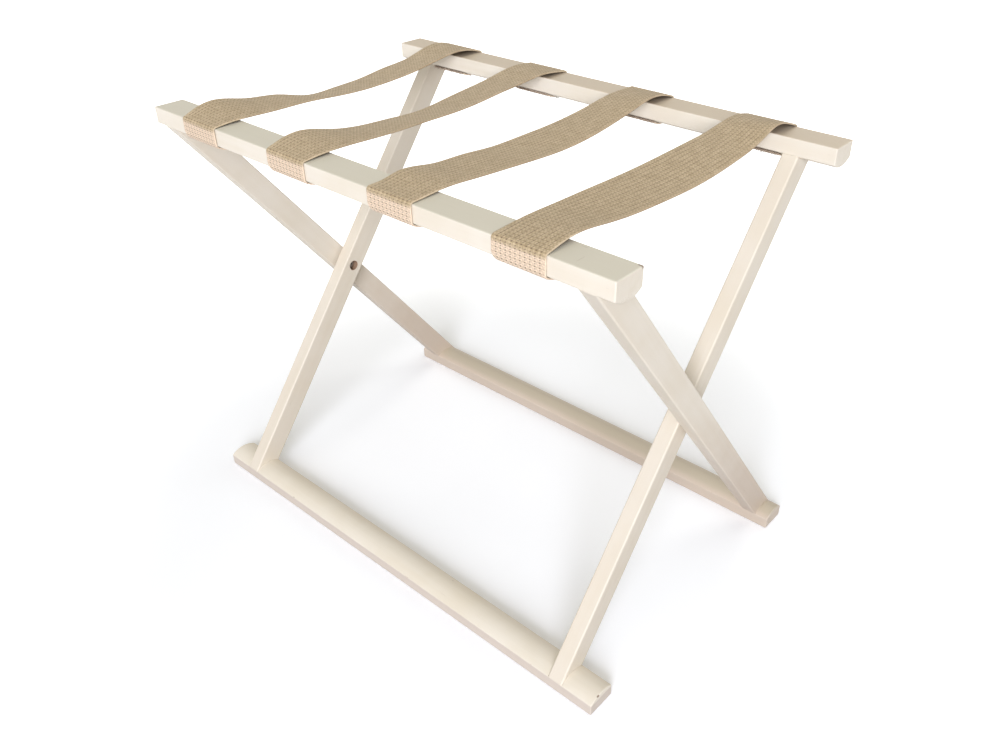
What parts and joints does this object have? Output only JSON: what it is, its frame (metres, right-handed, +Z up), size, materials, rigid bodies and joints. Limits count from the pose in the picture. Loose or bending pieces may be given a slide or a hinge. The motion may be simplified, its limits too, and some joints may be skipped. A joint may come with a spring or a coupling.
{
  "type": "folding luggage bench",
  "caption": "Folding luggage bench: crossed cream-painted wooden frames that pivot at the sides, with tan webbing straps across the top rails.",
  "frame": {"origin": "on the floor in the middle of the open bench, under the pivot axis", "axes": "+X along the rails to the right, +Y to the rear (the side of the inner frame's top rail), +Z up"},
  "size_m": [0.6, 0.3886, 0.4884],
  "materials": {
    "cream_paint": "cream satin paint over wood, slightly worn edges",
    "bare_beech": "unpainted turned beech",
    "webbing": "tan coarse basket-weave webbing",
    "zinc_steel": "dull zinc-plated steel",
    "staple_wire": "galvanised steel wire",
    "brass_insert": "plain brass",
    "nylon": "natural nylon"
  },
  "bodies": {
    "outer_frame": {"front_top_rail": "cream_paint", "rear_foot_rail": "cream_paint", "outer_leg_left": "cream_paint", "outer_leg_right": "cream_paint", "front_top_dowels": "bare_beech", "rear_foot_dowels": "bare_beech", "pivot_bolt_left": "zinc_steel", "head_washer_left": "zinc_steel", "spacer_washer_left": "nylon", "threaded_insert_left": "brass_insert", "pivot_bolt_right": "zinc_steel", "head_washer_right": "zinc_steel", "spacer_washer_right": "nylon", "threaded_insert_right": "brass_insert", "webbing_strap_1": "webbing", "webbing_strap_2": "webbing", "webbing_strap_3": "webbing", "webbing_strap_4": "webbing", "front_staples_1": "staple_wire", "front_staples_2": "staple_wire", "front_staples_3": "staple_wire", "front_staples_4": "staple_wire"},
    "inner_frame": {"rear_top_rail": "cream_paint", "front_foot_rail": "cream_paint", "inner_leg_left": "cream_paint", "inner_leg_right": "cream_paint", "rear_top_dowels": "bare_beech", "front_foot_dowels": "bare_beech", "rear_staples_1": "staple_wire", "rear_staples_2": "staple_wire", "rear_staples_3": "staple_wire", "rear_staples_4": "staple_wire"}
  },
  "joints": [
    {"name": "fold", "type": "hinge", "parent": "outer_frame", "child": "inner_frame", "pos_m": [0, 0, 0.2385], "axis": [1, 0, 0], "range_deg": [0, 65], "deforming": ["webbing_strap_1", "webbing_strap_2", "webbing_strap_3", "webbing_strap_4"]}
  ]
}
